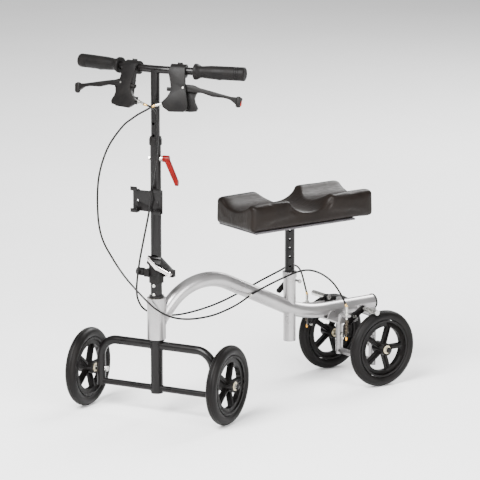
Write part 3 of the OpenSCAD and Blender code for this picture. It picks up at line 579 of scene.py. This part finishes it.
def makeTyre(name):
    joint = joints["wheel_" + name + "_spin"]
    centre, axle = Vector(joint["pos_m"]), Vector(joint["axis"])
    half = spanAlong("tyre_" + name, centre, axle)[1]
    lo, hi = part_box("tyre_" + name)
    middle = (hi[2] - lo[2]) / 2 - half
    deselect()
    bpy.ops.mesh.primitive_circle_add(vertices=tyre["section"], radius=half, location=(0, 0, 0),
                                      rotation=(math.pi / 2, 0, 0))
    obj = bpy.context.object
    obj.name = "tyre" + name.title().replace("_", "")
    only(obj)
    bpy.ops.object.transform_apply(rotation=True)
    for v in obj.data.vertices:
        turn = math.degrees(math.atan2(v.co.z, v.co.x))
        if any(abs(turn - g) < 1 for g in tyre["grooves"]):
            v.co *= 1 - tyre["grooveDepth"] * mm / half
        v.co.x = max(v.co.x, -half + 4 * mm)  # flat where it sits on the rim
    inEdit(obj, lambda: bpy.ops.transform.translate(value=(middle, 0, 0)),
           lambda: bpy.ops.mesh.spin(steps=tyre["steps"], angle=2 * math.pi, center=(0, 0, 0),
                                     axis=(0, 0, 1)))
    obj.data.transform(Matrix.Translation(centre) @ frameOf(axle))
    closeUp(obj)
    standFor(obj, material(solidTyre), "tyre_" + name)


shells = [("brake_housing_left", 2.2, mouldedNylon), ("brake_housing_right", 2.2, mouldedNylon),
          ("brake_lever_left", 2.0, mouldedNylon), ("brake_lever_right", 2.0, mouldedNylon),
          ("lower_hinge_casting", 1.2, mouldedNylon), ("upper_hinge_plate", 1.2, blackPowderCoat),
          ("height_lever", 2.0, redAcetal), ("seat_lever", 2.0, mouldedNylon),
          ("accessory_bracket", 0.8, blackPowderCoat), ("fold_plunger", 1.5, mouldedNylon),
          ("fold_lever", 1.5, chromePlate), ("brake_arm_left", 1.0, blackPowderCoat),
          ("brake_arm_right", 1.0, blackPowderCoat), ("cable_stop_bracket", 0.8, silverPowderCoat),
          ("column_collar", 1.2, mouldedNylon), ("tail_plug", 2.0, mouldedNylon),
          ("pad_plate", 1.0, baseBoard)]
shells += [("rim_" + wheel, 1.2, mouldedNylon) for wheel in wheelNames]


def makeShells():
    for node, width, maker in shells:
        parts = node.split("_")
        name = parts[0] + "".join(p.capitalize() for p in parts[1:])
        standFor(softened(node, width, 3, name), material(maker), node)


# the routes of part.scad, in mm, with x measured from the steering axis
cable = {"d": 5, "steps": 160, "rearSteps": 90, "columnEnd": 0.60, "forkEnd": 0.325, "ferrule": 8}
adjuster = {"lean": 105, "reach": 23.6, "fwd": 5.5, "out": -4, "z": -82}  # in a housing's directions
clip = {1: [-270.5, 22, 272], -1: [-270.5, -22, 272]}
frontRoute = {
    1: [[27.5, 19, 785], [36.5, 9, 777], [45.5, -4, 768], [53.5, -22, 755], [63.5, -50, 732],
        [77.5, -90, 680], [84.5, -118, 620], [85.5, -132, 560], [81.5, -136, 484], [75.5, -126, 434],
        [65.5, -99, 392], [55.5, -61, 352], [43.5, -18, 318], [27.5, 24, 286], [3.5, 46, 266],
        [-32.5, 49, 252], [-82.5, 44, 243], [-142.5, 36, 241], [-192.5, 29, 247], [-232.5, 25, 257]],
    -1: [[26.5, 7, 788], [17.5, 15, 783], [11.5, 24, 768], [12.5, 30, 738], [16.5, 31, 685],
         [24.5, 33, 640], [38.5, 38, 585], [40.5, 30, 530], [39.5, 4, 455], [38.5, -18, 390],
         [37.5, -32, 325], [29.5, -36, 289], [7.5, -38, 262], [-32.5, -36, 245], [-82.5, -32, 238],
         [-132.5, -30, 240], [-182.5, -28, 247], [-227.5, -25, 258]]}
rearRoute = {
    1: [[-302.5, 23, 284], [-337.5, 26, 296], [-372.5, 28, 306], [-404.5, 30, 314], [-432.5, 35, 318],
        [-454.5, 43, 315], [-477, 53, 304], [-498, 66, 284], [-515, 78, 254]],
    -1: [[-302.5, -23, 282], [-337.5, -26, 292], [-372.5, -29, 301], [-404.5, -32, 309],
         [-432.5, -38, 315], [-454.5, -44, 314], [-477, -54, 304], [-498, -67, 284], [-515, -78, 254]]}
sideName = {1: "Left", -1: "Right"}


def fromSteering(p):
    return Vector((p[0] * mm + steerPoint.x, p[1] * mm, p[2] * mm))


def adjusterEnds(side):  # where the two cable adjusters of one side let the jacket out
    lean, reach = math.radians(adjuster["lean"]), adjuster["reach"]
    front = onHousing(side, adjuster["fwd"], adjuster["out"] - reach * math.sin(lean),
                      adjuster["z"] + reach * math.cos(lean))
    lo, hi = (Vector(c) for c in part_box("rear_adjusters"))
    rear = Vector(((lo.x + hi.x) / 2, side * (hi.y - (hi.x - lo.x) / 2), hi.z + 0.3 * mm))
    return front, rear


def makeCables():
    # each front cable is cut where one joint's bend ends and the next one's begins
    for side in (1, -1):
        name = sideName[side]
        front, rear = adjusterEnds(side)
        route = [front] + [fromSteering(p) for p in frontRoute[side]] + [fromSteering(clip[side])]
        walk = smoothPath(route, cable["steps"])
        cutA = next(i for i, p in enumerate(walk) if p.z < cable["columnEnd"])
        cutB = next(i for i, p in enumerate(walk) if p.z < cable["forkEnd"])
        for part, (i, j, a, b) in {"Upper": (0, cutA, "handlebar", "column"),
                                   "Middle": (cutA, cutB, "column", "fork"),
                                   "Lower": (cutB, cable["steps"], "fork", "frame")}.items():
            obj = rodAlong("cable" + name + part, walk[i:j + 1], cable["d"] / 2)
            setMaterial(obj, material(cableJacket))
            if part == "Upper":
                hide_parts("front_brake_cables")
            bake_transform(obj)
        route = [fromSteering(clip[side])] + [fromSteering(p) for p in rearRoute[side]] + [rear]
        back = smoothPath(route, cable["rearSteps"])
        obj = rodAlong("cableRear" + name, back, cable["d"] / 2)
        standFor(obj, material(cableJacket), "rear_brake_cables")
        makeFerrule("ferrule" + name, front, walk[2] - walk[0], "handlebar")
        makeFerrule("ferruleRear" + name, rear, back[-3] - back[-1], "frame")


def makeFerrule(name, place, along, body):
    r, l = cable["d"] / 2, cable["ferrule"]
    obj = drawnOut(name, [(r, -0.2), (r + 0.8, -0.2), (r + 1.1, 0.4), (r + 1.1, 2), (r + 0.5, 2.6),
                          (r + 0.5, l - 0.6), (r + 0.1, l)], place, along, 24)
    setMaterial(obj, material(brassFerrule))
    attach(obj, body)


spring = {"turns": 9, "perTurn": 20, "wire": 0.7, "inner": 0.5, "tail": 12, "cap": 2.4}


def makeSprings():  # a wire coil round each inner wire, and the wire's capped tail below its clamp
    lo, hi = (Vector(c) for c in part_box("brake_springs"))
    for side in (1, -1):
        name = sideName[side]
        centre = Vector(((lo.x + hi.x) / 2, side * (hi.y - (hi.x - lo.x) / 2), 0))
        r = (hi.x - lo.x) / 2 - spring["wire"] * mm
        path, steps = [], spring["turns"] * spring["perTurn"]
        for k in range(steps + 1):
            a = 2 * math.pi * k / spring["perTurn"]
            rise = lo.z + (hi.z - lo.z) * k / steps
            path.append(centre + Vector((r * math.cos(a), r * math.sin(a), rise)))
        obj = rodAlong("spring" + name, path, spring["wire"], sides=2)
        setMaterial(obj, material(springSteel))
        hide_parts("brake_springs")
        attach(obj, "frame")
        foot = centre + up * (lo.z - spring["tail"] * mm)
        top = centre + up * (hi.z + 4 * mm)
        walk = [top.lerp(foot, k / 24) for k in range(25)]
        wire = rodAlong("innerWire" + name, walk, spring["inner"], sides=2)
        setMaterial(wire, material(springSteel))
        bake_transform(wire)
        cap = spring["cap"]
        end = drawnOut("wireCap" + name, [(cap - 0.8, -7), (cap, -6), (cap, 0), (cap - 0.6, 1)],
                       foot, up, 20)
        setMaterial(end, material(yellowCap))
        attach(end, "arm_" + name.lower())


tip = {"size": (11, 13, 27), "out": 186.5, "round": 4.8,
       "insetSize": (7.5, 4, 18), "insetOut": 192.6, "insetRound": 1.6, "fwd": 6.8, "z": -68.5}


def leverBlock(name, side, size, rounding, out, maker):  # a rounded block at a lever's end
    fwd, away, high = housingAxes(side)
    deselect()
    bpy.ops.mesh.primitive_cube_add(size=1, location=(0, 0, 0))
    obj = bpy.context.object
    obj.name = name
    inEdit(obj, lambda: bpy.ops.transform.resize(value=[s * mm for s in size]),
           lambda: bpy.ops.mesh.bevel(offset=rounding * mm, segments=5, affect="EDGES"))
    place = Matrix((fwd, away, high)).transposed().to_4x4()
    obj.data.transform(Matrix.Translation(onHousing(side, tip["fwd"], out, tip["z"])) @ place)
    closeUp(obj, 50)
    setMaterial(obj, material(maker))
    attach(obj, "lever_" + sideName[side].lower())


def makeLeverTips():  # the rounded end of each brake lever, and the orange inset in the left one
    for side in (1, -1):
        leverBlock("leverTip" + sideName[side], side, tip["size"], tip["round"], tip["out"],
                   mouldedNylon)
    leverBlock("leverInset", 1, tip["insetSize"], tip["insetRound"], tip["insetOut"], orangeAcetal)


button = {"r": 4.6, "heights": (310, 333), "face": 14.1}


def makeButtons():  # domed screw heads in the two holes down the front of the steerer
    for k, height in enumerate(button["heights"]):
        r = button["r"]
        obj = drawnOut("steererButton" + str(k + 1),
                       [(r - 0.8, -2), (r, -1.6), (r, 0.8), (r - 0.9, 1.8), (r - 2.4, 2.4), (1, 2.6)],
                       onFront(button["face"], 0, height), onFront(1, 0, 0) - onFront(0, 0, 0), 28, 50)
        setMaterial(obj, material(zincPlate))
        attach(obj, "fork")


endCap = {"r": 20.4, "back": 3.2, "over": 2.0, "flange": 3, "nut": 7.2, "proud": 2.6}


def makeEndCaps():  # the plug's rim round the tail's end, and a dark cap on each axle's outer end
    lo, hi = (Vector(c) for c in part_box("tail_plug"))
    r, back, over = endCap["r"], endCap["back"], endCap["over"]
    profile = [(r - 2.5, -back), (r - 0.8, 0.8 - back), (r, 2 - back), (r, over - 0.6), (r - 0.6, over)]
    tail = (lo.x + endCap["flange"] * mm, 0, (lo.z + hi.z) / 2)
    rim = drawnOut("tailRim", profile, tail, (1, 0, 0), 56, 50)
    setMaterial(rim, material(mouldedNylon))
    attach(rim, "frame")
    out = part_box("rear_axle_bolts")[1][1] - joints["wheel_rear_left_spin"]["pos_m"][1]
    for wheel in wheelNames:
        joint = joints["wheel_" + wheel + "_spin"]
        way = Vector(joint["axis"]).normalized() * (1 if wheel.endswith("left") else -1)
        nut, proud = endCap["nut"], endCap["proud"]
        profile = [(nut, -1), (nut, proud - 1), (nut - 1.2, proud), (1, proud + 0.4)]
        obj = drawnOut("axleCap" + wheel, profile, Vector(joint["pos_m"]) + way * out, way, 24, 50)
        setMaterial(obj, material(mouldedNylon))
        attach(obj, "fork" if wheel.startswith("front") else "frame")


weld = {"radius": 1.9, "ripple": 0.35, "steps": 72, "loopZ": 179, "crossZ": 68, "climb": 48,
        "headMeets": 232.6}  # headMeets is where the main tube's axis meets the steering axis
tube = {"head": 23.5, "main": 19, "centre": 15.3, "loop": 11, "cross": 8, "topBar": 11,
        "tailRise": 9}  # radii in mm, and how far the tail's axis runs above the top bar's


def makeWeld(name, centre, mainAxis, mainR, branch, branchR, body, maker, past=0):
    # a bead round the line where a branch tube meets a main tube, its axis past the main one by
    # a few mm; radii in mm
    m, d = Vector(mainAxis).normalized(), Vector(branch).normalized()
    u = m.cross(d).normalized()
    n, w = u.cross(m), d.cross(u)
    bead = []
    for k in range(weld["steps"]):
        t = 2 * math.pi * k / weld["steps"]
        side, rise = branchR * math.cos(t), branchR * math.sin(t)
        reach = (math.sqrt(max(0, mainR ** 2 - (side + past) ** 2)) - rise * w.dot(n)) / d.dot(n)
        wobble = weld["ripple"] * math.sin(k * 2.4)
        bead.append(Vector(centre) + (d * (reach + wobble) + u * side + w * rise) * mm)
    obj = rodAlong("weld" + name, bead, weld["radius"], closed=True)
    setMaterial(obj, material(maker))
    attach(obj, body)


def makeWelds():
    rear = Vector(joints["wheel_rear_left_spin"]["pos_m"])
    topBar = sum((Vector(c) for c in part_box("rear_top_bar")), Vector()) / 2
    climb = math.radians(weld["climb"])
    makeWeld("Head", (steerPoint.x, 0, weld["headMeets"] * mm), up, tube["head"],
             (-math.cos(climb), 0, math.sin(climb)), tube["main"], "frame", weldSteel)
    for side in (1, -1):
        loop, cross = onFront(0, 0, weld["loopZ"]), onFront(0, 0, weld["crossZ"])
        out = steerLeft * side
        makeWeld("Loop" + sideName[side], loop, up, tube["centre"], out, tube["loop"], "fork",
                 blackWeld)
        makeWeld("Cross" + sideName[side], cross, up, tube["centre"], out, tube["cross"], "fork",
                 blackWeld)
        makeWeld("TopBar" + sideName[side], (rear.x, 0, topBar.z), (1, 0, 0), tube["main"],
                 (0, side, 0), tube["topBar"], "frame", weldSteel, past=-side * tube["tailRise"])


makeCamera()
makeStudio()
dressFrame()
print("frame dressed")
makeCables()
print("cables laid")
makeSprings()
makeLeverTips()
makeButtons()
makeEndCaps()
makeWelds()
makeShells()
print("shells rounded")
for gripName, gripSide in (("left", 1), ("right", -1)):
    makeGrip(gripName, gripSide)
for wheel in wheelNames:
    makeTyre(wheel)
print("grips and tyres turned")
makeKneePad()
print("knee pad filled")
